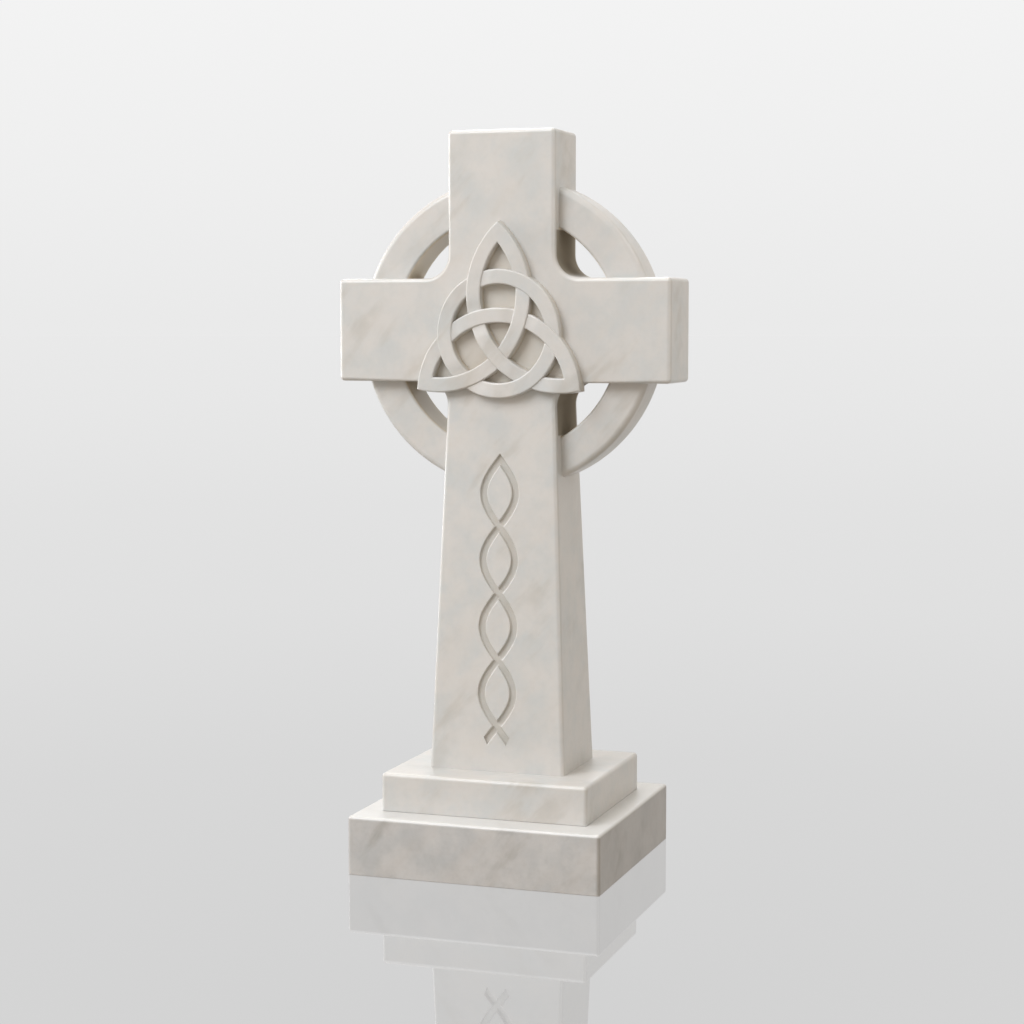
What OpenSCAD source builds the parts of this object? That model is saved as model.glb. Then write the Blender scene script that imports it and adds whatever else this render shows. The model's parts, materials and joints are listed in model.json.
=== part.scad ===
// Celtic cross headstone: a tapering cross with a set-back ring, a raised knot and a cut twist,
// standing on an upper step and a wide base. Z is up, the carved face looks towards -Y.

/* [Base] */
// Width of the base, left to right
base_w = 486; // [440:1:600]
// Depth of the base, front to back
base_d = 466; // [400:1:600]
// Height of the base
base_h = 110; // [60:1:200]

/* [Upper step] */
// Width of the upper step, left to right
step_w = 400; // [330:1:480]
// Depth of the upper step, front to back
step_d = 344; // [240:1:460]
// Height of the upper step
step_h = 72; // [30:1:150]

/* [Cross body] */
// Height of the cross above the upper step
cross_h = 1190; // [1000:1:1450]
// Width of the shaft at its foot
foot_w = 265; // [215:1:320]
// Depth of the shaft at its foot
foot_d = 191; // [140:1:230]
// Width of the shaft just under the arms, and of the top limb
limb_w = 209; // [170:1:250]
// Depth of the arms and of the top limb
limb_d = 135; // [110:1:165]
// Distance from one arm's end to the other's
arm_span = 648; // [600:1:780]
// Height of an arm, from its underside to its top
arm_h = 192; // [150:1:230]
// Height of the arms' middle above the upper step
arm_level = 822; // [680:1:990]
// Radius of the hollow corner between a limb and an arm
corner_r = 45; // [10:1:60]

/* [Ring] */
// Outer radius of the ring
ring_outer_r = 288; // [265:1:320]
// Inner radius of the ring
ring_inner_r = 219; // [200:1:245]
// Depth of the ring, front to back
ring_d = 84; // [50:1:105]
// Distance of the ring's middle below the arms' middle
ring_drop = 6; // [0:1:20]

/* [Knot] */
// Width of a band of the knot
band_w = 27.5; // [20:0.5:33]
// Height of the knot above the face
knot_proud = 20; // [8:1:30]
// Depth that the knot's bands run back behind the face
knot_root = 6; // [3:1:25]
// Radius of the knot's circle, to the middle of the band
circle_r = 105; // [95:1:115]
// Height of the knot's top point above its middle, to the middle of the band
apex_rise = 187; // [160:1:215]
// Distance of a lower point from the knot's upright axis
tip_reach = 144; // [125:1:160]
// Distance of a lower point below the knot's middle
tip_drop = 93; // [80:1:105]
// How far a side bow swells from the straight line between its points
side_bow = 114.5; // [100:0.5:130]
// How far the crossing bow swells from the straight line between its points
top_bow = 127; // [110:1:140]

/* [Twist] */
// Height of the first crossing of the twist above the upper step
twist_start = 85; // [60:1:120]
// Distance from the twist's top point up to the underside of the arms
twist_head_gap = 143; // [100:1:200]
// How far a strand swings to each side
twist_swing = 31; // [20:1:45]
// Width of a cut strand
strand_w = 14; // [8:1:20]
// Depth of a cut strand
strand_depth = 4.5; // [2:0.5:8]
// Length of the loose ends below the first crossing, measured straight down
tail_drop = 24; // [10:1:40]

/* [Hidden] */
$fn = 96;

// Heights of the seats, one stone on the other
step_seat = base_h;
cross_seat = base_h + step_h;

// Heights of the arms and of the ring, from the ground
arm_mid = cross_seat + arm_level;
arm_under = arm_mid - arm_h / 2;
arm_top = arm_mid + arm_h / 2;
ring_mid = arm_mid - ring_drop;
cross_top = cross_seat + cross_h;

// Lean of the shaft's sides and of its faces, from the foot to the arms
shaft_h = arm_under - cross_seat;
side_lean = atan((foot_w - limb_w) / 2 / shaft_h);
face_lean = atan((foot_d - limb_d) / 2 / shaft_h);

// Loops of the twist between its crossings, the points that one wave of a strand takes, and the
// distance from one crossing to the next
twist_loops = 4;
wave_points = 14;
twist_pitch = (shaft_h - twist_start - twist_head_gap) / twist_loops;

// A cut or a filling runs this far past the surface that it starts from
past = 1;
// A hollow corner's arc cuts this far into the faces that it joins, so that it ends at a clean edge
bite = 0.1;

// A bow of the knot is an arc between two points that swells by a given distance.
function bow_radius(p, q, swell) =
    let (half = norm(q - p) / 2)
    (half * half + swell * swell) / (2 * swell);
function bow_middle(p, q, swell) =
    let (along = (q - p) / norm(q - p))
    (p + q) / 2 + (bow_radius(p, q, swell) - swell) * [-along[1], along[0]];

// The three points of the knot, and its three bows as pairs of points that each bow joins.
// Each bow swells to the right of the way from its first point to its second.
apex = [0, apex_rise];
left_tip = [-tip_reach, -tip_drop];
right_tip = [tip_reach, -tip_drop];
BOWS = [
    [right_tip, left_tip, top_bow],
    [left_tip, apex, side_bow],
    [apex, right_tip, side_bow],
];

// A strand's distance from the middle at a height above the first crossing. Below that crossing
// it runs straight on, at the slope that it has there.
function strand_x(z) = z < 0
    ? twist_swing * PI * z / twist_pitch
    : twist_swing * sin(180 * z / twist_pitch);
function strand_slope(z) = twist_swing * PI / twist_pitch * (z < 0 ? 1 : cos(180 * z / twist_pitch));
// A point on one edge of a strand: side is 1 or -1
function strand_edge(z, side) =
    [strand_x(z), z] + side * strand_w / 2 * [1, -strand_slope(z)] / norm([1, strand_slope(z)]);

// A block with its underside at a height
module block(w, d, h, z) {
    translate([-w / 2, -d / 2, z]) cube([w, d, h]);
}

// The stone that fills a hollow corner. It starts inside the corner's point, and the upright side
// leans outwards by lean as it leaves the corner.
module corner_fill(r, lean) {
    reach = r - bite;
    middle = reach * [(1 + sin(lean)) / cos(lean), 1];
    foot = middle - (reach + past) * [cos(lean), -sin(lean)];
    difference() {
        polygon([[-past, -past], [middle[0], -past], middle, foot]);
        translate(middle) circle(r = r);
    }
}

// Front outline of the cross, without the ring
module front_outline() {
    polygon([
        [-foot_w / 2, cross_seat],
        [foot_w / 2, cross_seat],
        [limb_w / 2, arm_under],
        [-limb_w / 2, arm_under],
    ]);
    translate([-arm_span / 2, arm_under]) square([arm_span, arm_h]);
    translate([-limb_w / 2, arm_under]) square([limb_w, cross_top - arm_under]);
    for (side = [0, 1]) mirror([side, 0]) {
        translate([limb_w / 2, arm_top]) corner_fill(corner_r, 0);
        translate([limb_w / 2, arm_under]) mirror([0, 1]) corner_fill(corner_r, side_lean);
    }
}

// Side outline of the cross
module side_outline() {
    polygon([
        [-foot_d / 2, cross_seat],
        [foot_d / 2, cross_seat],
        [limb_d / 2, arm_under],
        [limb_d / 2, cross_top],
        [-limb_d / 2, cross_top],
        [-limb_d / 2, arm_under],
    ]);
}

// An outline drawn in x and z, given a thickness from the depth y = 0 towards +Y
module upright(depth) {
    rotate([90, 0, 0]) mirror([0, 0, 1]) linear_extrude(height = depth) children();
}

module cross_body() {
    reach = max(arm_span, foot_w) / 2 + past;
    intersection() {
        translate([0, -foot_d / 2 - past, 0]) upright(foot_d + 2 * past) front_outline();
        translate([-reach, 0, 0])
            rotate([90, 0, 90]) linear_extrude(height = 2 * reach) side_outline();
    }
}

module ring() {
    translate([0, -ring_d / 2, ring_mid]) upright(ring_d) difference() {
        circle(r = ring_outer_r);
        circle(r = ring_inner_r);
    }
}

// A disc whose edge follows one bow of the knot, moved out by grow
module bow_disc(bow, grow) {
    translate(bow_middle(bow[0], bow[1], bow[2]))
        circle(r = bow_radius(bow[0], bow[1], bow[2]) + grow);
}

// The band round the lens that two bows enclose. Its sharp end is one point of the knot.
module lens_band(first, second) {
    difference() {
        intersection() {
            bow_disc(first, band_w / 2);
            bow_disc(second, band_w / 2);
        }
        intersection() {
            bow_disc(first, -band_w / 2);
            bow_disc(second, -band_w / 2);
        }
    }
}

module knot_outline() {
    for (i = [0:2]) lens_band(BOWS[i], BOWS[(i + 1) % 3]);
    difference() {
        circle(r = circle_r + band_w / 2);
        circle(r = circle_r - band_w / 2);
    }
}

module knot() {
    translate([0, -limb_d / 2 - knot_proud, ring_mid])
        upright(knot_proud + knot_root) knot_outline();
}

// Outline of one strand of the twist, from its loose end up to the top point
module strand_outline() {
    waves = twist_loops * wave_points;
    heights = [-tail_drop, for (i = [0:waves]) i * twist_pitch / wave_points];
    last = len(heights) - 1;
    intersection() {
        polygon([
            for (i = [0:last]) strand_edge(heights[i], 1),
            for (i = [last:-1:0]) strand_edge(heights[i], -1),
        ]);
        // Each strand stops at the upright middle line above the last loop, where the two meet
        translate([-arm_span / 2, -twist_pitch])
            square([arm_span, (twist_loops + 1) * twist_pitch]);
    }
}

// Both strands, cut at right angles to the leaning face of the shaft
module twist_cut() {
    foot_to_start = twist_start / cos(face_lean);
    translate([0, -foot_d / 2, cross_seat]) rotate([-face_lean, 0, 0])
        translate([0, -past, foot_to_start]) upright(strand_depth + past) {
            strand_outline();
            mirror([1, 0]) strand_outline();
        }
}

module base() {
    color([0.71, 0.70, 0.67]) block(base_w, base_d, base_h, 0);
}

module upper_step() {
    color([0.85, 0.83, 0.80]) block(step_w, step_d, step_h, step_seat);
}

module cross() {
    color([0.83, 0.81, 0.78]) {
        difference() {
            cross_body();
            twist_cut();
        }
        ring();
        knot();
    }
}

base();
upper_step();
cross();
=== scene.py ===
# %% [markdown]
# # A Celtic cross headstone in marble
# This lesson builds a carved memorial cross in Blender, around a measured model of the same
# stone. The measured model gives the sizes and the place of each stone. Blender gives what a
# measured model leaves out: eased arrises, a knot whose bands pass over and under each other,
# a twist cut into the shaft, and marble.

# %% Load the measured model
import bpy
import bmesh
import json
from math import atan, cos, degrees, hypot, pi, radians, sin, sqrt, tan
from mathutils import Matrix, Vector

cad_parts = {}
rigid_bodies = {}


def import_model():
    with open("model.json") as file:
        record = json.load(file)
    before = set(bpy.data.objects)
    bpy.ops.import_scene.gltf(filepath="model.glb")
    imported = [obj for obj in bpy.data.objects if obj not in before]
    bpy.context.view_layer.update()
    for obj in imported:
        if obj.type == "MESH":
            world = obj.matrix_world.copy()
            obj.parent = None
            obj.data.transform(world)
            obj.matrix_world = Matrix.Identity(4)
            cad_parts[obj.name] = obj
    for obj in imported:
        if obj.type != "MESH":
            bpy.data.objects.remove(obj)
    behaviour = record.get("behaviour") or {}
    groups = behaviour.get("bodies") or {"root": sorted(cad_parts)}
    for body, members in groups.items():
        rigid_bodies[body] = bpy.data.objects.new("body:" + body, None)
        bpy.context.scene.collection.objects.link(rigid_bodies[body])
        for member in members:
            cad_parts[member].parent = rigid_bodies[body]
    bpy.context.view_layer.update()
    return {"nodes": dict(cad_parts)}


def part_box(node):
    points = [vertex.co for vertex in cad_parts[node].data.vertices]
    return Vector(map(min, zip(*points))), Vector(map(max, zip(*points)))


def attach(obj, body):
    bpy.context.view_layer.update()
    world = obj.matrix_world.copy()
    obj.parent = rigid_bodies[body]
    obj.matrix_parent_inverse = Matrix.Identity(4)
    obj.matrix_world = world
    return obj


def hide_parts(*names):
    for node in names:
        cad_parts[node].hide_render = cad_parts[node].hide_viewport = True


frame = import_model()
MM = 0.001
print("stones:", sorted(frame["nodes"]))

# %% [markdown]
# ## The sizes that everything follows
# A mason sets a cross out from a few sizes: the seats of the stones, the width and the depth of
# the limbs, and the middle of the ring. The measured stones give the overall ones. The others are
# the mason's own sizes, in millimetres, turned into metres once, here.

# %% Sizes of the cross
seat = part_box("cross")[0].z
cross_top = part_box("cross")[1].z
foot_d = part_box("cross")[1].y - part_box("cross")[0].y
arm_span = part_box("cross")[1].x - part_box("cross")[0].x
foot_w = 265 * MM
limb_w = 209 * MM
limb_d = 135 * MM
arm_h = 192 * MM
arm_level = 822 * MM
ring_drop = 6 * MM
ring_inner = 219 * MM
ring_outer = 288 * MM
ring_d = 84 * MM
arm_mid = seat + arm_level
arm_under = arm_mid - arm_h / 2
arm_top = arm_mid + arm_h / 2
ring_mid = arm_mid - ring_drop
face_y = -limb_d / 2
face_lean = atan((foot_d - limb_d) / 2 / (arm_under - seat))
print("cross: %.3f m high, %.3f m span, its faces lean %.1f degrees"
      % (cross_top - seat, arm_span, degrees(face_lean)))

# %% [markdown]
# ## The lines of the knot
# The knot is set out from three bows and a circle. A bow is the arc from one point of the knot to
# another that swells by a given distance, and it is named after the side that it swells to. The
# carving follows these lines, and so does the dust that settles in it.

# %% Bows and circle
apex_rise = 187 * MM
tip_reach = 144 * MM
tip_drop = 93 * MM
circle_radius = 105 * MM
side_swell = 114.5 * MM
top_swell = 127 * MM


class Arc:
    """A circle that a band follows, seen from the front: x to the right and z up."""

    def __init__(self, middle, radius):
        self.middle = middle
        self.radius = radius

    def off(self, x, z):
        """Distance of a point from the arc's middle line."""
        return abs(hypot(x - self.middle.x, z - self.middle.y) - self.radius)


def bow(start, end, swell):
    """The arc from one point to another that swells to the right of the way between them."""
    half = (end - start).length / 2
    radius = (half * half + swell * swell) / (2 * swell)
    along = (end - start).normalized()
    return Arc((start + end) / 2 + (radius - swell) * Vector((-along.y, along.x)), radius)


centre = Vector((0, ring_mid))
apex = centre + Vector((0, apex_rise))
left_tip = centre + Vector((-tip_reach, -tip_drop))
right_tip = centre + Vector((tip_reach, -tip_drop))
bands = {
    "circle": Arc(centre, circle_radius),
    "left bow": bow(apex, right_tip, side_swell),
    "right bow": bow(left_tip, apex, side_swell),
    "top bow": bow(right_tip, left_tip, top_swell)}
for name, arc in bands.items():
    print(name, "radius %.1f mm" % (arc.radius / MM))

# %% [markdown]
# ## The camera
# The camera stands to the right of the cross, a little above its middle. A short lens close by would
# make the cross seem to lean back, so this one is long and stands about four metres away, which
# keeps the upright lines nearly parallel.

# %% Camera
camera_data = bpy.data.cameras.new("camera")
camera_data.lens = 76.96
camera_data.sensor_width = 36
camera = bpy.data.objects.new("camera", camera_data)
camera.location = (1.333, -3.899, 1.027)
camera.rotation_euler = (radians(84.93), 0, radians(18.89))
bpy.context.scene.collection.objects.link(camera)
bpy.context.scene.camera = camera
print("camera %.2f m from the cross" % camera.location.length)

# %% [markdown]
# ## Node maths that reads like sums
# A finish in Blender is a tree of nodes. Wiring each node by hand hides the idea behind it, so
# this small class wraps one socket. Sums on wrapped sockets add the Math nodes that they need, and
# any other node comes from one method that sets the node's type and settings before its inputs.

# %% Finish and Value
class Finish:
    """One material and its node tree."""

    def __init__(self, name):
        self.material = bpy.data.materials.new(name)
        self.material.use_nodes = True
        self.tree = self.material.node_tree
        self.tree.nodes.clear()

    def node(self, kind, settings, inputs, output=0):
        """Adds a node. output is the number of the socket that it gives, or a tuple of them."""
        made = self.tree.nodes.new("ShaderNode" + kind)
        for name, setting in settings.items():
            if name == "stops":
                set_stops(made.color_ramp, setting)
            else:
                setattr(made, name, setting)
        for name, given in inputs.items():
            if isinstance(given, Value):
                self.tree.links.new(given.socket, made.inputs[name])
            else:
                made.inputs[name].default_value = given
        if isinstance(output, tuple):
            return [Value(self, made.outputs[number]) for number in output]
        return Value(self, made.outputs[output]) if made.outputs else None

    def noise(self, place, scale, detail=3.0, roughness=0.5, distortion=0.0):
        return self.node("TexNoise", {}, {
            "Vector": place, "Scale": scale, "Detail": detail,
            "Roughness": roughness, "Distortion": distortion})

    def mix_colors(self, factor, first, second, blend="MIX"):
        return self.node("Mix", {"data_type": "RGBA", "blend_type": blend},
                         {0: factor, 6: first, 7: second}, output=2)

    def turn_and_stretch(self, place, turn, stretch):
        """Places for a pattern that is turned, and stretched along its own three ways."""
        return self.node("Mapping", {"vector_type": "TEXTURE"},
                         {"Vector": place, "Rotation": turn, "Scale": stretch})


class Value:
    """One socket of a finish, which can be used in a sum."""

    def __init__(self, finish, socket):
        self.finish = finish
        self.socket = socket

    def math(self, operation, *numbers):
        return self.finish.node("Math", {"operation": operation}, dict(enumerate(numbers)))

    def __add__(self, other):
        return self.math("ADD", self, other)

    def __sub__(self, other):
        return self.math("SUBTRACT", self, other)

    def __rsub__(self, other):
        return self.math("SUBTRACT", other, self)

    def __mul__(self, other):
        return self.math("MULTIPLY", self, other)

    def __pow__(self, other):
        return self.math("POWER", self, other)

    def __abs__(self):
        return self.math("ABSOLUTE", self)

    __radd__ = __add__
    __rmul__ = __mul__

    def rise(self, low, high):
        """0 at low, 1 at high and a soft rise between them. Low may be the larger number."""
        return self.finish.node("MapRange", {"interpolation_type": "SMOOTHSTEP"}, {
            "Value": self, "From Min": low, "From Max": high})


def set_stops(ramp, stops):
    """Gives a colour ramp its places and colours."""
    while len(ramp.elements) < len(stops):
        ramp.elements.new(0.5)
    for element, (place, color) in zip(ramp.elements, stops):
        element.position = place
        element.color = color


print("node maths ready")

# %% [markdown]
# ## Where shade is painted
# The floor of the twist, the face between the bands of the knot and the limbs' sides inside the
# ring's gaps are coloured darker and warmer. This is painted shade, and the gaps are also made dull.
# Such places could be painted by hand on an unwrapped mesh. Here they are worked out from the place
# of each spot, because the lines of the carving are known.

# %% Spot
class Spot:
    """A spot on the stone, in metres: x to the right, y to the back and z up."""

    def __init__(self, stone):
        self.stone = stone
        self.place = stone.node("TexCoord", {}, {}, output=3)
        self.x, self.y, self.z = stone.node("SeparateXYZ", {}, {0: self.place},
                                            output=(0, 1, 2))
        self.flat = stone.node("VectorMath", {"operation": "MULTIPLY"},
                               {0: self.place, 1: (1, 0, 1)})
        self.from_centre = self.far_from(centre)

    def far_from(self, point):
        """Distance from a point of the front view."""
        return self.stone.node("VectorMath", {"operation": "DISTANCE"},
                               {0: self.flat, 1: (point.x, 0, point.y)}, output=1)


# A patch of painted shade fades out over this width.
soft_edge = 6 * MM
print("a patch of dust fades out over %.0f mm" % (soft_edge / MM))

# %% [markdown]
# The twist is the only thing that lies just behind the shaft's leaning face, so its floor is found
# by depth alone, inside a field that holds the whole twist.

# %% Painted shade in the twist
# Painted shade: the twist's floor is coloured darker and warmer, as shade would make it.
TWIST_SHADE = (0.325, 0.280, 0.200, 1)
TWIST_SHADE_SHARE = 0.26
field_half = 40 * MM
field_foot = seat + 45 * MM
field_head = seat + 630 * MM


def painted_shade_in_twist(spot):
    """1 in the floor of the twist, 0 on the faces."""
    behind_face = spot.y + foot_d / 2 - (spot.z - seat) * tan(face_lean)
    in_cut = behind_face.rise(0.6 * MM, 3.6 * MM) * behind_face.rise(12 * MM, 9 * MM)
    in_width = abs(spot.x).rise(field_half + soft_edge, field_half)
    in_height = spot.z.rise(field_foot - soft_edge, field_foot) * spot.z.rise(
        field_head + soft_edge, field_head)
    return in_cut * in_width * in_height


print("field of the twist: %.0f mm high" % ((field_head - field_foot) / MM))

# %% [markdown]
# Painted shade between the bands lies on the face inside the knot's outline, which is the circle
# and the three lenses that two bows enclose. A little more is painted low on the sides of the bands.

# %% Painted shade in the knot
# Painted shade: a warm, dark colour stands in for the shade between the bands and at their feet.
KNOT_SHADE = (0.520, 0.420, 0.270, 1)
KNOT_SHADE_SHARE = 0.50
BOWS = ["left bow", "right bow", "top bow"]
knot_reach = 220 * MM


def painted_shade_in_knot(spot):
    """0.4 between the bands of the knot, 0.6 low on their sides, 0 on their tops."""
    below_arms = spot.z.math("MAXIMUM", arm_under - spot.z, 0.0)
    proud = face_y - (spot.y + below_arms * tan(face_lean))
    inside = {name: spot.far_from(arc.middle).rise(arc.radius + soft_edge, arc.radius - soft_edge)
              for name, arc in bands.items()}
    knot = inside["circle"]
    for first, second in zip(BOWS, BOWS[1:] + BOWS[:1]):
        knot = knot.math("MAXIMUM", knot, inside[first] * inside[second])
    on_face = proud.rise(14 * MM, 5 * MM) * proud.rise(-12 * MM, -8 * MM)
    on_side = proud.rise(9 * MM, 3 * MM) * proud.rise(0.2 * MM, 0.5 * MM)
    near = spot.from_centre.rise(knot_reach + 10 * MM, knot_reach)
    return knot * on_face * 0.4 + on_side * near * 0.6


# The painted shade reaches this far from the knot's middle.
print("dust reaches %.0f mm from the knot's middle" % (knot_reach / MM))

# %% [markdown]
# Inside the ring the limbs' sides are painted dark as shade, from behind the front arris to before
# the back one, and made dull. The ring's inner wall is painted a little warmer than the rest as
# shade, and its upper half, which faces down, is painted paler, as light bounced up from the arms.

# %% Painted shade in the gaps and painted light on the ring's wall
# Painted shade: the limbs' sides inside the ring's gaps are coloured dark, as shade, and made dull.
GAP_SHADE = (0.240, 0.204, 0.152, 1)
GAP_SHADE_SHARE = 0.95
# Painted light and shade on the ring's inner wall: warmer low down, and paler on its upper half, as
# if lit by light off the arms.
WALL_LOW_SHADE = (0.630, 0.550, 0.430, 1)
WALL_HIGH_LIGHT = (0.770, 0.690, 0.560, 1)


def painted_shade_in_gaps(spot):
    """1 on the limbs' sides and hollow corners inside the ring, 0 elsewhere."""
    beside_limb = abs(spot.x).rise(limb_w / 2 + 42 * MM, limb_w / 2 + 15 * MM)
    behind_arris = abs(spot.y).rise(-face_y - 5 * MM, -face_y - 14 * MM)
    in_ring = spot.from_centre.rise(ring_inner - 0.5 * MM, ring_inner - 4 * MM)
    return beside_limb * behind_arris * in_ring


def ring_wall(spot):
    """1 on the ring's inner wall, 0 elsewhere."""
    at_wall = spot.from_centre.rise(ring_inner - 3 * MM, ring_inner - 1 * MM)
    before_arris = spot.from_centre.rise(ring_inner + 2.5 * MM, ring_inner + 0.3 * MM)
    return at_wall * before_arris * abs(spot.y).rise(ring_d / 2 + 4 * MM, ring_d / 2)


# Painted light and shade: the wall's tone runs from the warm low shade to the pale upper half.
def painted_ring_wall_tone(spot):
    return spot.stone.mix_colors(spot.z.rise(ring_mid, ring_mid + 60 * MM), WALL_LOW_SHADE, WALL_HIGH_LIGHT)


print("grime and wall tones ready")

# %% [markdown]
# ## Marble
# Marble is lime that recrystallised. Light goes a few millimetres into it before it comes back,
# so its edges glow a little, and clay or carbon in the lime left soft veins that all run one way.
# The finish lays one tone on another: a warm ground, slow drifts of cooler and warmer tone, veins
# that slant across the stone, fine mottling, and last painted light and shade. The surface is honed,
# and its gloss varies slightly. Two stones share the recipe with other numbers.

# %% Tones of the marble
VEIN_TURN = (0, radians(-50), radians(20))
VEIN_STRETCH = (4.4, 1.6, 1.0)


def body_tone(stone, place, clouds, mottle, ground, cool, warm, vein, vein_strength, vein_scale):
    """The tone of the clean marble: drifts, then veins, then mottling."""
    along = stone.turn_and_stretch(place, VEIN_TURN, VEIN_STRETCH)
    blush = stone.noise(along, 17.0, detail=5.0, roughness=0.6)
    streaks = stone.noise(along, vein_scale, detail=4.5, roughness=0.56, distortion=0.25)
    breaks = stone.noise(place, 6.5, detail=3.0, roughness=0.6)
    tone = stone.mix_colors(clouds.rise(0.36, 0.68), ground, cool)
    tone = stone.mix_colors(blush.rise(0.42, 0.72) * 0.50, tone, warm)
    veins = streaks.rise(0.50, 0.68) * breaks.rise(0.40, 0.60)
    tone = stone.mix_colors(veins * vein_strength, tone, vein)
    return stone.mix_colors(mottle.rise(0.40, 0.78) * (vein_strength * 0.22), tone, vein)


print("veins lean %.0f degrees" % abs(degrees(VEIN_TURN[1])))

# %% [markdown]
# The base's right-hand side is painted darker, as shade, and its top paler, as painted light. Both
# are shares that the other stones set to nothing.

# %% Painted light and shade on the base
# Painted light: the base's top is coloured paler, as if lit more.
TOP_LIGHT_TONE = (0.680, 0.668, 0.650, 1)
base_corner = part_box("base")[1]


def tone_with_painted_light(spot, tone, gap_shade, side_shade_tone, painted_side_shade, painted_top_light):
    """The clean tone with all the painted light and shade laid on it: the base's side and top, the
    twist, the knot, the ring's wall and the gaps.
    """
    # Painted shade: the base's right-hand side is coloured darker.
    at_side = spot.x.rise(base_corner.x - 9 * MM, base_corner.x - 2 * MM)
    at_top = spot.z.rise(base_corner.z - 6 * MM, base_corner.z - 1 * MM)
    layers = [
        (at_side * painted_side_shade, side_shade_tone),
        (at_top * painted_top_light, TOP_LIGHT_TONE),
        (painted_shade_in_twist(spot) * TWIST_SHADE_SHARE, TWIST_SHADE),
        (painted_shade_in_knot(spot) * KNOT_SHADE_SHARE, KNOT_SHADE),
        (ring_wall(spot), painted_ring_wall_tone(spot)),
        (gap_shade * GAP_SHADE_SHARE, GAP_SHADE)]
    for share, colour in layers:
        tone = spot.stone.mix_colors(share, tone, colour)
    return tone


# The painted light on the base's top starts this high.
print("worn top from %.0f mm up" % ((base_corner.z - 6 * MM) / MM))

# %% [markdown]
# The shader lets some light into the stone, most of it red, which is what makes marble look soft.
# The bump is slight, because the stone is honed, and the surface is dull where shade is painted in
# the gaps.

# %% Marble recipe
def marble(name, seed, vein, painted_side_shade=0.0, painted_top_light=0.0, **tones):
    """A marble finish. seed moves the whole pattern, and tones are what body_tone takes."""
    stone = Finish(name)
    spot = Spot(stone)
    place = stone.node("VectorMath", {"operation": "ADD"}, {0: spot.place, 1: seed})
    clouds = stone.noise(place, 13.0, detail=4.0, roughness=0.62)
    mottle = stone.noise(place, 75.0, detail=3.0, roughness=0.6)
    grain = stone.noise(place, 420.0, detail=2.0)
    # The painted shade in the gaps, which also makes them dull.
    gap_shade = painted_shade_in_gaps(spot)
    tone = body_tone(stone, place, clouds, mottle, vein=vein, **tones)
    tone = tone_with_painted_light(spot, tone, gap_shade, vein, painted_side_shade, painted_top_light)
    gloss = 0.24 + clouds * 0.10 + mottle * 0.05 + gap_shade * 0.60
    bump = stone.node("Bump", {}, {
        "Height": grain * 0.3 + mottle * 0.7, "Strength": 0.05, "Distance": 0.002})
    shader = stone.node("BsdfPrincipled", {}, {
        "Base Color": tone, "Roughness": gloss, "Normal": bump, "IOR": 1.49,
        "Subsurface Weight": 0.15, "Subsurface Radius": (1.0, 0.85, 0.7),
        "Subsurface Scale": 0.004})
    stone.node("OutputMaterial", {}, {"Surface": shader})
    return stone.material


# %% [markdown]
# The cross and the upper step are of the whiter marble. The base is greyer, and its veins are larger
# and stronger.

# %% The two marbles
white_marble = marble(
    "white_marble", seed=(0.0, 0.0, 0.0), ground=(0.598, 0.571, 0.543, 1),
    cool=(0.532, 0.532, 0.520, 1), warm=(0.590, 0.552, 0.514, 1),
    vein=(0.410, 0.360, 0.300, 1), vein_strength=0.35, vein_scale=21.0)
# The base gets painted shade on its right-hand side and painted light on its top.
grey_marble = marble(
    "grey_marble", seed=(1.7, 0.4, 2.3), ground=(0.540, 0.517, 0.498, 1),
    cool=(0.450, 0.442, 0.433, 1), warm=(0.500, 0.462, 0.430, 1),
    vein=(0.250, 0.217, 0.180, 1), vein_strength=0.54, vein_scale=18.0,
    painted_side_shade=0.52, painted_top_light=0.75)
print("finishes:", white_marble.name, grey_marble.name)

# %% [markdown]
# ## From a bmesh to a finished piece
# A bmesh is a mesh being edited. When it is done its faces must point outwards, its smooth parts
# must shade smoothly and its corners must stay crisp. Weighted normals let a big flat face keep
# its own direction where it meets the narrow faces of a rounded arris.

# %% Finishing helpers
SHARP = radians(32)


def object_from(shape, name):
    """An object at the origin that holds a finished bmesh."""
    bmesh.ops.recalc_face_normals(shape, faces=shape.faces)
    mesh = bpy.data.meshes.new(name)
    shape.to_mesh(mesh)
    shape.free()
    made = bpy.data.objects.new(name, mesh)
    bpy.context.scene.collection.objects.link(made)
    return made


def show_as_stone(piece, node, finish):
    """Shades a piece, gives it its finish and lets it stand for a measured stone."""
    piece.data.shade_smooth()
    piece.data.set_sharp_from_angle(angle=SHARP)
    weighted = piece.modifiers.new("flat faces stay flat", "WEIGHTED_NORMAL")
    weighted.keep_sharp = True
    weighted.weight = 50
    piece.data.materials.clear()
    piece.data.materials.append(finish)
    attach(piece, "root")
    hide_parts(node)
    print(piece.name, "faces:", len(piece.data.polygons))


def round_edges(shape, edges, radius, segments):
    """Rounds edges that may end in one another, so the rounding isn't held back by its neighbours."""
    bmesh.ops.bevel(shape, geom=edges, offset=radius, offset_type="OFFSET", affect="EDGES",
                    segments=segments, profile=0.5, material=-1, clamp_overlap=False)


def round_corners(shape, corners, radius, segments):
    """Rounds the corners of a flat outline."""
    bmesh.ops.bevel(shape, geom=corners, offset=radius, offset_type="OFFSET", affect="VERTICES",
                    segments=segments, profile=0.5, material=-1, clamp_overlap=True)


print("corners under %.0f degrees shade smoothly" % degrees(SHARP))

# %% [markdown]
# ## The base and the upper step
# Both are sawn blocks. A mason eases the arrises with a stone, because a sharp marble edge chips
# at a touch, so no edge here is sharp: the light catches each one as a thin bright line. The
# arrises at the bed are eased less, and a fine shadow shows where one stone sits on the other.

# %% Base and upper step
bed_radius = 1.5 * MM


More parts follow.
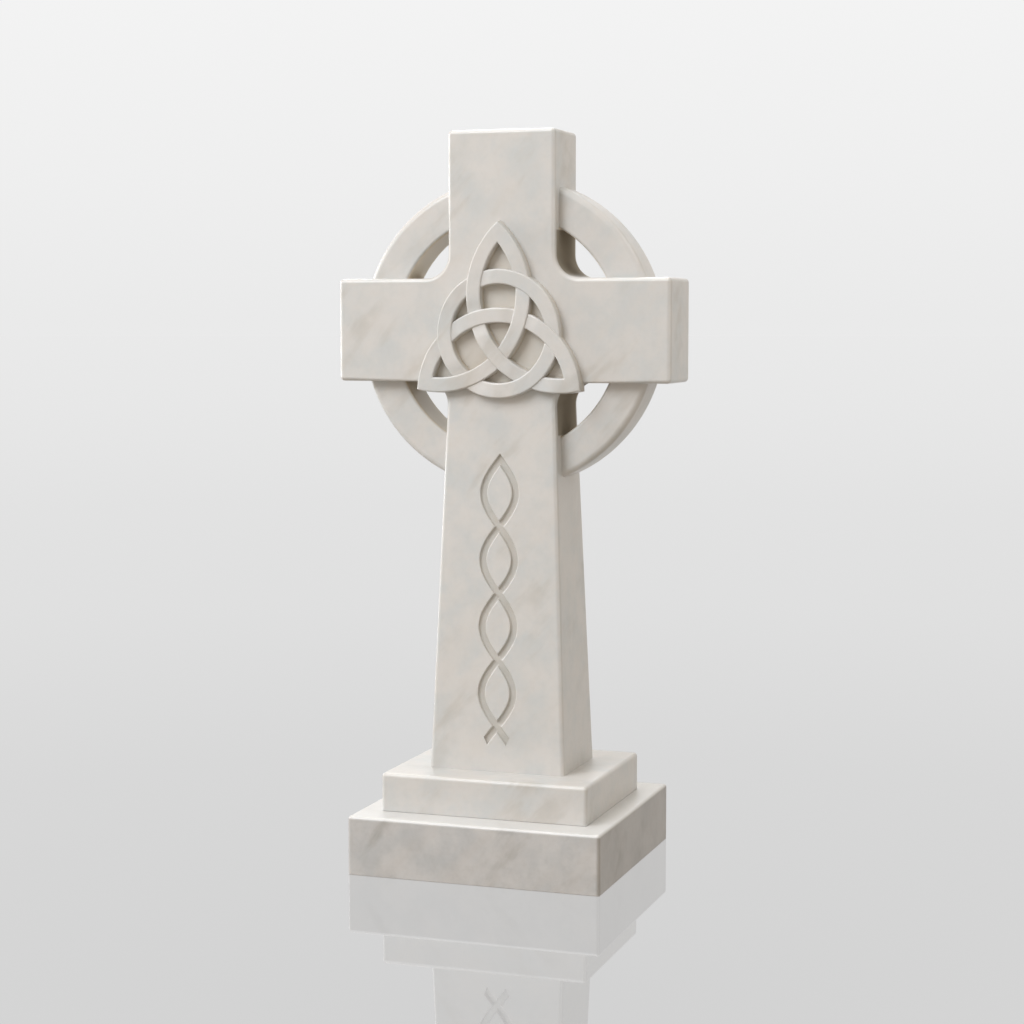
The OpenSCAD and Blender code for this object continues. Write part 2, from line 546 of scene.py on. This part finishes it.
def block(name, radius):
    """A block in a measured stone's place, whose bed edges are marked to be eased less."""
    low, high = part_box(name)
    shape = bmesh.new()
    weights = shape.edges.layers.float.new("bevel_weight_edge")
    bmesh.ops.create_cube(shape, size=1.0)
    bmesh.ops.scale(shape, vec=high - low, verts=shape.verts)
    bmesh.ops.translate(shape, vec=(low + high) / 2, verts=shape.verts)
    for edge in shape.edges:
        at_bed = all(v.co.z < low.z + MM for v in edge.verts)
        edge[weights] = bed_radius / radius if at_bed else 1.0
    return object_from(shape, name + "_stone")


def ease_arrises(piece, radius):
    """Rounds every edge, each as much as its mark says."""
    easing = piece.modifiers.new("eased arrises", "BEVEL")
    easing.limit_method = "WEIGHT"
    easing.width = radius
    easing.segments = 5
    easing.profile = 0.5


for name, radius, finish, slot in (
        ("base", 6 * MM, grey_marble, "marble_grey"),
        ("upper_step", 7 * MM, white_marble, "marble_white")):
    stone = block(name, radius)
    ease_arrises(stone, radius)
    show_as_stone(stone, name, finish)

# %% [markdown]
# ## The body of the cross
# The body could be joined from a shaft, two arms and a top limb, but then each hollow corner would
# need a piece of its own. So it starts as one outline, drawn as a flat face, and a vertex bevel
# rounds its four hollow corners.

# %% Body outline
corner_r = 45 * MM


def body_outline(shape):
    """One flat face in the plane of the cross's front, drawn from its right half."""
    half = [
        (foot_w / 2, seat), (limb_w / 2, arm_under), (arm_span / 2, arm_under),
        (arm_span / 2, arm_top), (limb_w / 2, arm_top), (limb_w / 2, cross_top)]
    way = half + [(-x, z) for x, z in reversed(half)]
    shape.faces.new([shape.verts.new((x, face_y, z)) for x, z in way])


def is_hollow_corner(vert):
    """Whether a limb meets an arm there."""
    at_arm = min(abs(vert.co.z - arm_under), abs(vert.co.z - arm_top)) < MM
    return at_arm and abs(abs(vert.co.x) - limb_w / 2) < MM


body = bmesh.new()
body_outline(body)
round_corners(body, [v for v in body.verts if is_hollow_corner(v)], corner_r, 12)
print("outline:", len(body.verts), "points")

# %% [markdown]
# The outline is extruded to its depth. Below the arms each face leans out towards the foot, so a cut
# is made at the arms' underside, and everything below it is moved out in proportion. Last, every
# arris but those at the bed is rounded.

# %% Body depth, lean and arrises
arris = 8 * MM
pulled = bmesh.ops.extrude_face_region(body, geom=body.faces[:])["geom"]
bmesh.ops.translate(body, vec=(0, limb_d, 0),
                    verts=[e for e in pulled if isinstance(e, bmesh.types.BMVert)])
bmesh.ops.bisect_plane(body, geom=body.verts[:] + body.edges[:] + body.faces[:], dist=1e-6,
                       plane_co=(0, 0, arm_under), plane_no=(0, 0, 1))
for vert in body.verts:
    drop = max(0.0, arm_under - vert.co.z)
    vert.co.y += drop * tan(face_lean) * (1 if vert.co.y > 0 else -1)
bmesh.ops.recalc_face_normals(body, faces=body.faces)
bed_edges = [e for e in body.edges if all(v.co.z < seat + MM for v in e.verts)]
arrises = [e for e in body.edges
           if e not in bed_edges and e.calc_face_angle() > radians(40)]
round_edges(body, arrises, arris, 6)
cross_stone = object_from(body, "cross_stone")
print("body faces:", len(cross_stone.data.polygons))

# %% [markdown]
# ## The ring
# The ring is a rounded bar swept round in a full turn. Its section is a flat face with rounded
# corners, of which only the outline is spun. The turn is merged where it meets its start.

# %% Ring
ring_outer_arris = 12 * MM
ring_inner_arris = 6 * MM


def swept_ring(shape, middle, steps):
    """Turns the outline of a flat section once round a point of the front view."""
    bmesh.ops.delete(shape, geom=shape.faces[:], context="FACES_ONLY")
    bmesh.ops.spin(shape, geom=shape.verts[:] + shape.edges[:], angle=2 * pi, steps=steps,
                   axis=(0, 1, 0), cent=(middle.x, 0, middle.y), use_merge=True)


def ring_shape():
    shape = bmesh.new()
    middle = (ring_outer + ring_inner) / 2
    bmesh.ops.create_grid(shape, x_segments=1, y_segments=1, size=0.5)
    bmesh.ops.scale(shape, vec=(ring_outer - ring_inner, ring_d, 1), verts=shape.verts)
    bmesh.ops.translate(shape, vec=(middle, 0, ring_mid), verts=shape.verts)
    round_corners(shape, [v for v in shape.verts if v.co.x > middle], ring_outer_arris, 5)
    round_corners(shape, [v for v in shape.verts if v.co.x < middle], ring_inner_arris, 5)
    swept_ring(shape, centre, 160)
    return shape


ring_piece = object_from(ring_shape(), "ring")
print("ring faces:", len(ring_piece.data.polygons))

# %% [markdown]
# ## The knot
# Each line of the knot becomes a raised band. Where two bands cross, one dips to pass under the
# other, and going along any band, over and under take turns.

# %% Sizes of a band
band_w = 27.5 * MM
knot_proud = 20 * MM
knot_root = 6 * MM
band_round = 3.0 * MM
band_splay = 1.5 * MM
print("band: %.1f mm wide, %.0f mm proud" % (band_w / MM, knot_proud / MM))

# %% [markdown]
# Two circles cross twice. This finds both crossings, and the list after it says which band passes
# over which, and near which point, in millimetres from the knot's middle.

# %% Crossings
def meetings(first, second):
    """The two points where two circles cross."""
    gap = second.middle - first.middle
    along = (gap.length_squared + first.radius ** 2 - second.radius ** 2) / (2 * gap.length)
    aside = sqrt(first.radius ** 2 - along ** 2)
    foot = first.middle + gap.normalized() * along
    turn = Vector((-gap.y, gap.x)).normalized() * aside
    return [foot + turn, foot - turn]


OVER_UNDER = [
    ("left bow", "circle", (-60, 90)), ("circle", "right bow", (60, 90)),
    ("circle", "top bow", (-105, 0)), ("top bow", "circle", (105, 0)),
    ("right bow", "circle", (-45, -95)), ("circle", "left bow", (45, -95)),
    ("top bow", "left bow", (-60, 30)), ("right bow", "top bow", (60, 30)),
    ("left bow", "right bow", (0, -60))]
crossings = []
for over, under, from_middle in OVER_UNDER:
    near = centre + Vector(from_middle) * MM
    place = min(meetings(bands[over], bands[under]), key=lambda p: (p - near).length)
    crossings.append((over, under, place))
    print("%-9s over %-9s at x %4.0f, z %4.0f mm" % (
        over, under, place.x / MM, place.y / MM))

# %% [markdown]
# Each band has the same section: a bar with rounded front corners whose sides splay a little
# towards the face, as a chisel leaves them. It is drawn flat at the middle and then set upright on
# the band's line.

# %% Band section
def band_section(shape, arc, start):
    """The section of a band, standing on the arc at an angle from the +X axis."""
    bmesh.ops.create_grid(shape, x_segments=1, y_segments=1, size=0.5)
    bmesh.ops.scale(shape, vec=(band_w, knot_proud + knot_root, 1), verts=shape.verts)
    bmesh.ops.translate(shape, vec=(0, face_y + (knot_root - knot_proud) / 2, 0),
                        verts=shape.verts)
    front = [v for v in shape.verts if v.co.y < face_y]
    for vert in shape.verts:
        if vert not in front:
            vert.co.x += band_splay * (1 if vert.co.x > 0 else -1)
    round_corners(shape, front, band_round, 4)
    place = Matrix.Translation((arc.middle.x, 0, arc.middle.y)) @ Matrix.Rotation(
        -start, 4, "Y") @ Matrix.Translation((arc.radius, 0, 0))
    bmesh.ops.transform(shape, matrix=place, verts=shape.verts)


print("band root: %.0f mm behind the face" % (knot_root / MM))

# %% [markdown]
# A band that passes under another starts to sink some way before it, and is lowest all the way
# under it. The sinking is kept near the crossing, because the line of the other band goes on past
# this band at other places.

# %% Dips
dip = 2.6 * MM
dip_run = 24 * MM
dip_full = 2.2 * band_w
dip_end = 3.2 * band_w


def smooth_fall(distance, near, far):
    """1 up to near, 0 from far on, and a smooth fall between them."""
    share = min(1.0, max(0.0, (far - distance) / (far - near)))
    return share * share * (3 - 2 * share)


def dip_bands(shape, name):
    """Lets a band dip where another one passes over it. Its root stays where it is."""
    under = [(bands[o], place) for o, u, place in crossings if u == name]
    back = face_y + knot_root
    for vert in shape.verts:
        for over, place in under:
            away = hypot(vert.co.x - place.x, vert.co.z - place.y)
            if away < dip_end:
                low = dip * smooth_fall(over.off(vert.co.x, vert.co.z), band_w / 2,
                                        band_w / 2 + dip_run)
                low *= smooth_fall(away, dip_full, dip_end)
                vert.co.y += low * (back - vert.co.y) / (knot_proud + knot_root)


print("dips: %.1f mm deep" % (dip / MM))

# %% [markdown]
# The circle is a full turn of the section. It dips three times, under each of the bows in turn.

# %% Sweep the circle
circle = bmesh.new()
band_section(circle, bands["circle"], 0)
swept_ring(circle, centre, 220)
dip_bands(circle, "circle")
knot_pieces = [object_from(circle, "knot_circle")]
print("circle faces:", len(knot_pieces[0].data.polygons))

# %% [markdown]
# A bow is cut off flat at each of its points, and a strand of the twist at both its ends. The plane
# of a cut meets the bow again on its far side, and there it must cut nothing. So only the faces round
# some points are cut. They are listed in the mesh's own order, because a set has an order of its own
# each time the script runs.

# %% Flat cuts
def cut_flat(shape, near, place, across):
    """Cuts off what lies beyond a plane, among some points only, and closes the cut."""
    faces = {f for v in near for f in v.link_faces}

    def touching(parts):
        return [p for p in parts if any(f in faces for f in p.link_faces)]

    geom = touching(shape.verts) + touching(shape.edges) + [f for f in shape.faces if f in faces]
    bmesh.ops.bisect_plane(shape, geom=geom, dist=1e-7, plane_co=place, plane_no=across,
                           clear_outer=True)
    bmesh.ops.holes_fill(shape, edges=[e for e in shape.edges if e.is_boundary], sides=0)


print("flat cuts ready")

# %% [markdown]
# Two bows meet in a sharp point, as two sides of a picture frame do. Each is cut off along the line
# from the outer corner of the point to its inner corner.

# %% Mitres
mitre_reach = 2.6 * band_w


def corner(first, second, grow, tip):
    """Where the edges of two bands meet, near a point of the knot."""
    edges = [Arc(arc.middle, arc.radius + grow) for arc in (first, second)]
    return min(meetings(*edges), key=lambda p: (p - tip).length)


def mitre(shape, arc, other, tip, inside):
    """Cuts a band off at a point of the knot, and keeps the part that inside lies in."""
    outer = corner(arc, other, band_w / 2, tip)
    inner = corner(arc, other, -band_w / 2, tip)
    along = (outer - inner).normalized()
    across = Vector((along.y, -along.x))
    if (inside - tip).dot(across) > 0:
        across = -across
    near = [v for v in shape.verts if hypot(v.co.x - tip.x, v.co.z - tip.y) < mitre_reach]
    cut_flat(shape, near, (outer.x, 0, outer.y), (across.x, 0, across.y))


print("a mitre reaches %.0f mm round its point" % (mitre_reach / MM))

# %% [markdown]
# A bow is swept a little past its two points first, so that each mitre cuts through a full section.

# %% Sweep the bows
overrun = 30 * MM
bow_steps = 150


def turn_of(arc, point):
    """The angle of a point seen from the arc's middle, from +X towards +Z."""
    return Vector((1, 0)).angle_signed(point - arc.middle) * -1


def bow_shape(name, start, end, before, after):
    """A bow from one point of the knot to another, mitred against the bows before and after it."""
    arc = bands[name]
    first = turn_of(arc, start)
    sweep = (turn_of(arc, end) - first) % (2 * pi)
    if sweep > pi:
        sweep -= 2 * pi
    past = overrun / arc.radius * (1 if sweep > 0 else -1)
    halfway = arc.middle + Matrix.Rotation(first + sweep / 2, 2) @ Vector((arc.radius, 0))
    shape = bmesh.new()
    band_section(shape, arc, first - past)
    bmesh.ops.delete(shape, geom=shape.faces[:], context="FACES_ONLY")
    bmesh.ops.spin(shape, geom=shape.verts[:] + shape.edges[:], angle=-(sweep + 2 * past),
                   steps=bow_steps, axis=(0, 1, 0), cent=(arc.middle.x, 0, arc.middle.y),
                   use_merge=False)
    dip_bands(shape, name)
    mitre(shape, arc, bands[before], start, halfway)
    mitre(shape, arc, bands[after], end, halfway)
    return shape


for name, start, end, before, after in (
        ("left bow", apex, right_tip, "right bow", "top bow"),
        ("right bow", left_tip, apex, "top bow", "left bow"),
        ("top bow", right_tip, left_tip, "left bow", "right bow")):
    knot_pieces.append(object_from(bow_shape(name, start, end, before, after),
                                   "knot_" + name.replace(" ", "_")))
    print(name, "faces:", len(knot_pieces[-1].data.polygons))

# %% [markdown]
# ## The twist
# Two strands are cut into the shaft. They cross four times and meet in a point. Drawing each groove
# on the shaft's own mesh would tear up its flat face, so each strand is a cutter, a solid that is
# taken away from the stone. Each strand follows one wave, and the other strand is its mirror image.

# %% The strands' wave
twist_loops = 4
first_crossing = 85 * MM
head_gap = 143 * MM
twist_swing = 31 * MM
twist_pitch = (arm_under - seat - first_crossing - head_gap) / twist_loops


def wave(s):
    """The strand's distance from the middle at a height above the first crossing."""
    turn = pi / twist_pitch
    return twist_swing * (turn * s if s < 0 else sin(turn * s))


def wave_slope(s):
    """How far the strand moves aside for each step up."""
    turn = pi / twist_pitch
    return twist_swing * turn * (1 if s < 0 else cos(turn * s))


print("twist: one crossing every %.1f mm" % (twist_pitch / MM))

# %% [markdown]
# The cutter has a T-shaped section. Its stem makes the channel, the corners under the bar round the
# lips, and the corners of the foot soften the floor. Each rounding stays a little short of the next
# corner. The T is drawn shallow, just deep enough for both, and then stretched to its depth.

# %% Section of a strand
strand_half = 6.4 * MM
strand_depth = 5.2 * MM
lip = 2.4 * MM
floor_round = 3.2 * MM
bar_lift = 0.1 * MM
lip_rounding = lip * 0.98
floor_rounding = floor_round * 0.95


def strand_section(shape):
    """A T lying on its back: x is across the strand, y is into the stone."""
    drawn_depth = lip + floor_round
    bar_half = strand_half + 2 * lip
    half = [(strand_half, drawn_depth), (strand_half, -bar_lift), (bar_half, -bar_lift),
            (bar_half, -lip)]
    way = half + [(-x, y) for x, y in reversed(half)]
    verts = [shape.verts.new((x, y, 0)) for x, y in way]
    shape.faces.new(verts)
    round_corners(shape, [verts[1], verts[6]], lip_rounding, 5)
    round_corners(shape, [verts[0], verts[7]], floor_rounding, 5)
    for vert in shape.verts:
        if vert.co.y > 0:
            vert.co.y *= strand_depth / drawn_depth


print("strand: %.1f mm wide, %.1f mm deep" % (2 * strand_half / MM, strand_depth / MM))

# %% [markdown]
# At a crossing one strand runs through, a little shallower than elsewhere. The other one is cut
# deeper up to the first one's edge and steps up under it, so the eye reads it as passing below.

# %% Depth of a strand
on_top_rise = 0.15
below_sink = 0.10
below_step = 0.30
crossing_near, crossing_far = 9 * MM, 28 * MM
step_near, step_far = 4.2 * MM, 6.2 * MM


def strand_depth_share(s, side):
    """How deep a strand is cut at a height, as a share of its usual depth."""
    nearest = max(0, min(twist_loops - 1, round(s / twist_pitch)))
    on_top = (nearest % 2 == 1) == (side > 0)
    at_crossing = smooth_fall(abs(s - nearest * twist_pitch), crossing_near, crossing_far)
    if on_top:
        return 1 - on_top_rise * at_crossing
    from_other = abs(wave(s) * 2) * cos(atan(wave_slope(s)))
    under_other = smooth_fall(from_other, step_near, step_far)
    return 1 + at_crossing * (below_sink - below_step * under_other)


print("depths at the crossings ready")

# %% [markdown]
# The section is swept straight up in small steps, and then every point is moved onto the wave. The
# cutter is cut off at the upright middle line, where the two strands meet, and at a lean at its
# loose end. It is swept a little further than both, so that each cut is clean.

# %% Strand cutters
twist_top = twist_loops * twist_pitch
tail_drop = 28 * MM
tail_lean = radians(24)
tail_spare, top_spare = 14 * MM, 20 * MM
twist_step = 1.5 * MM


def near_height(shape, height, reach):
    return [v for v in shape.verts if abs(v.co.z - height) < reach]


def swept_strand(side):
    """One strand, longer than it needs to be at both ends."""
    shape = bmesh.new()
    strand_section(shape)
    low = -tail_drop - tail_spare
    high = twist_top + top_spare
    steps = round((high - low) / twist_step)
    bmesh.ops.delete(shape, geom=shape.faces[:], context="FACES_ONLY")
    bmesh.ops.translate(shape, vec=(0, 0, low), verts=shape.verts)
    bmesh.ops.spin(shape, geom=shape.verts[:] + shape.edges[:], angle=0, steps=steps,
                   axis=(0, 0, 1), cent=(0, 0, 0), dvec=(0, 0, (high - low) / steps),
                   use_merge=False)
    for vert in shape.verts:
        s = vert.co.z
        slope = wave_slope(s)
        across = Vector((1, 0, -slope)).normalized() * vert.co.x
        if vert.co.y > 0:
            vert.co.y *= strand_depth_share(s, side)
        vert.co = Vector((wave(s) + across.x, vert.co.y, s + across.z))
    return shape


def strand_cutter(side):
    """One strand, cut to its length: side is 1, or -1 for its mirror image."""
    shape = swept_strand(side)
    at_top = near_height(shape, twist_top, 0.6 * twist_pitch)
    cut_flat(shape, at_top, (0, 0, twist_top), (1, 0, 0))
    at_tail = near_height(shape, -tail_drop, 0.3 * twist_pitch)
    cut_flat(shape, at_tail, (wave(-tail_drop), 0, -tail_drop),
             (-cos(tail_lean), 0, -sin(tail_lean)))
    bmesh.ops.scale(shape, vec=(side, 1, 1), verts=shape.verts)
    return shape


def lay_on_shaft(shape):
    """Turns a cutter from its upright drawing onto the leaning front of the shaft."""
    up_the_face = first_crossing / cos(face_lean)
    lean = Matrix.Translation((0, -foot_d / 2, seat)) @ Matrix.Rotation(
        -face_lean, 4, "X") @ Matrix.Translation((0, 0, up_the_face))
    bmesh.ops.transform(shape, matrix=lean, verts=shape.verts)


cutters = []
for side in (1, -1):
    cutter = strand_cutter(side)
    lay_on_shaft(cutter)
    cutters.append(object_from(cutter, "strand_cutter"))
    print("strand cutter faces:", len(cutters[-1].data.polygons))

# %% [markdown]
# ## One carved stone
# The real cross is cut from one block, so the body, the ring and the knot are joined into one
# closed shape, and the strands are cut out of it. The manifold solver takes only closed meshes and
# gives back a closed one. Each join is a modifier for a moment, and its result is the new mesh.

# %% Join and cut
def combine(target, others, operation):
    """Joins other closed pieces to a piece, or cuts them out of it, one after another."""
    for other in others:
        step = target.modifiers.new(operation, "BOOLEAN")
        step.operation = operation
        step.solver = "MANIFOLD"
        step.object = other
        graph = bpy.context.evaluated_depsgraph_get()
        result = bpy.data.meshes.new_from_object(target.evaluated_get(graph))
        target.modifiers.clear()
        target.data = result
        bpy.data.objects.remove(other)


def open_edges(mesh):
    """How many edges don't have a face on each side, and the volume that the mesh encloses."""
    shape = bmesh.new()
    shape.from_mesh(mesh)
    count = sum(1 for e in shape.edges if not e.is_manifold)
    volume = shape.calc_volume()
    shape.free()
    return count, volume


combine(cross_stone, [ring_piece] + knot_pieces, "UNION")
print("joined: %d open edges, %.5f cubic metres" % open_edges(cross_stone.data))
combine(cross_stone, cutters, "DIFFERENCE")
print("carved: %d open edges, %.5f cubic metres" % open_edges(cross_stone.data))

# %% [markdown]
# The carved stone gets the same shading and the same marble as the upper step, so its veins run on
# from one stone to the next, as they do when both come from one block.

# %% Finish the cross
show_as_stone(cross_stone, "cross", white_marble)

# %% [markdown]
# ## The floor and the backdrop
# A polished pale floor mirrors the stone faintly. It is one very large disc, and the world behind
# it has the same tone at the horizon, so no line shows where one ends and the other starts. Both
# shine evenly by themselves, like a lit studio cove, and light the stone from all sides with a
# warmer and weaker light than the eye sees there.

# %% Tones of the studio
FLOOR_TINT = (0.74, 0.64, 0.515, 1)
SKY_TINT = (0.69, 0.645, 0.565, 1)
HORIZON = 0.822


def seen_and_lit(finish, tone, tint):
    """A tone that eyes and reflections see as it is, and that lights the stone warmer and less."""
    diffuse_ray = finish.node("LightPath", {}, {}, output=2)
    lighting = finish.mix_colors(1.0, tone, tint, blend="MULTIPLY")
    return {"Color": finish.mix_colors(diffuse_ray, tone, lighting), "Strength": 1.0}


def grey(level):
    return (level, level, level, 1)


def grey_ramp(finish, levels, place):
    """Greys along a ramp: levels maps a place on it to how bright it is there."""
    stops = [(at, grey(level)) for at, level in levels.items()]
    return finish.node("ValToRGB", {"stops": stops}, {"Fac": place})


print("the horizon's tone is %.3f" % HORIZON)

# %% [markdown]
# The floor is darkest just in front of the stone and gets paler away from it. The ramp takes a share
# that is 0 there, a half at the half-way distance and near 1 only at the horizon, so the tones never
# end in a line.

# %% Floor
floor_radius = 120
darkest_spot = (0.36, -1.04, 0)
half_way = 4.0
mirror_share = 0.22
floor_levels = {
    0.0: 0.556, 0.34: 0.626, 0.545: 0.700, 0.70: 0.734, 0.78: 0.764, 0.86: 0.790, 1.0: HORIZON}


def floor_disc():
    shape = bmesh.new()
    bmesh.ops.create_circle(shape, cap_ends=True, cap_tris=False, segments=96,
                            radius=floor_radius)
    made = object_from(shape, "floor")
    return made


def floor_finish():
    finish = Finish("pale_floor")
    place = finish.node("TexCoord", {}, {}, output=3)
    away = finish.node("VectorMath", {"operation": "DISTANCE"},
                       {0: place, 1: darkest_spot}, output=1)
    tone = grey_ramp(finish, floor_levels, 1 - (away * (1 / half_way) + 1) ** -1)
    glow = finish.node("Emission", {}, seen_and_lit(finish, tone, FLOOR_TINT))
    mirror = finish.node("BsdfGlossy", {}, {"Color": (1, 1, 1, 1), "Roughness": 0.02})
    sheen = finish.node("MixShader", {}, {0: mirror_share, 1: glow, 2: mirror})
    finish.node("OutputMaterial", {}, {"Surface": sheen})
    return finish.material


floor = floor_disc()
floor.data.materials.append(floor_finish())
print("floor:", floor.name, floor.data.materials[0].name)

# %% [markdown]
# The world gets brighter from the horizon up. Its ramp reads how steeply a ray rises.

# %% World
sky_levels = {0.0: HORIZON, 0.062: 0.860, 0.14: 0.897, 1.0: 1.0}


class Sky(Finish):
    """The world's node tree, with the same node method as a finish."""

    def __init__(self, name):
        self.world = bpy.data.worlds.new(name)
        self.world.use_nodes = True
        self.tree = self.world.node_tree
        self.tree.nodes.clear()


studio = Sky("studio")
ray = studio.node("TexCoord", {}, {})
steepness = studio.node("SeparateXYZ", {}, {0: ray}, output=2)
sky_tone = grey_ramp(studio, sky_levels, steepness)
background = studio.node("Background", {}, seen_and_lit(studio, sky_tone, SKY_TINT))
studio.node("OutputWorld", {}, {"Surface": background})
bpy.context.scene.world = studio.world
print("world:", studio.world.name)

# %% [markdown]
# ## Light
# Four soft lamps model the stone. The key lamp is very large and far away, high on the front left,
# so it lights the front evenly and drops soft shadows into the carving. A smaller one low on the
# left picks out the sides of the bands, a faint one lights the right side, and one lights the back.
# Three more lamps show only as reflections: they draw thin bright lines along the arrises.

# %% Lamps
stones = bpy.data.collections.new("stones")
for piece in bpy.context.scene.objects:
    if piece.name.endswith("_stone"):
        stones.objects.link(piece)


def soft_light(name, place, aim, size, power, color=(1, 1, 1)):
    """A soft lamp that lights the stones only, and that the camera doesn't see."""
    data = bpy.data.lights.new(name, "AREA")
    data.shape = "ELLIPSE"
    data.size, data.size_y = size
    data.energy = power
    data.color = color
    lamp = bpy.data.objects.new(name, data)
    lamp.location = place
    lamp.rotation_euler = (Vector(aim) - Vector(place)).to_track_quat("-Z", "Y").to_euler()
    lamp.visible_camera = False
    lamp.light_linking.receiver_collection = stones
    bpy.context.scene.collection.objects.link(lamp)
    return lamp


# %% [markdown]
# Each lamp aims at one height of the stone. The key's light is a little cool, against the warm light
# from the floor.

# %% Lights
LOW_SHAFT = (0, 0, 0.6)
HIGH_SHAFT = (0, 0, 0.8)
TOP_LIMB = (0, 0, 1.2)
COOL = (0.93, 0.98, 1.05)


def gleam(name, place, size, power):
    """A lamp that shows only as a reflection on the polished arrises."""
    soft_light(name, place, HIGH_SHAFT, size, power).visible_diffuse = False


soft_light("key", (-3.6, -6.0, 6.4), HIGH_SHAFT, (5.5, 5.5), 590, COOL)
soft_light("left", (-4.2, -0.9, 1.8), HIGH_SHAFT, (1.8, 1.8), 56)
soft_light("side", (1.7, 0.1, 2.7), TOP_LIMB, (1.2, 1.2), 9)
soft_light("back", (-1.2, 3.2, 4.2), LOW_SHAFT, (2.4, 2.4), 78)
gleam("gleam_top", (-0.6, -0.3, 4.2), (2.4, 2.4), 62)
gleam("gleam_left", (-3.2, 1.0, 1.2), (0.7, 2.6), 60)
gleam("gleam_right", (3.2, -1.1, 1.2), (0.7, 2.6), 40)

# %% [markdown]
# ## The view transform
# The plain view transform shows the tones as they are set. Rounding the arrises takes stone away.

# %% View transform
bpy.context.scene.view_settings.view_transform = "Standard"
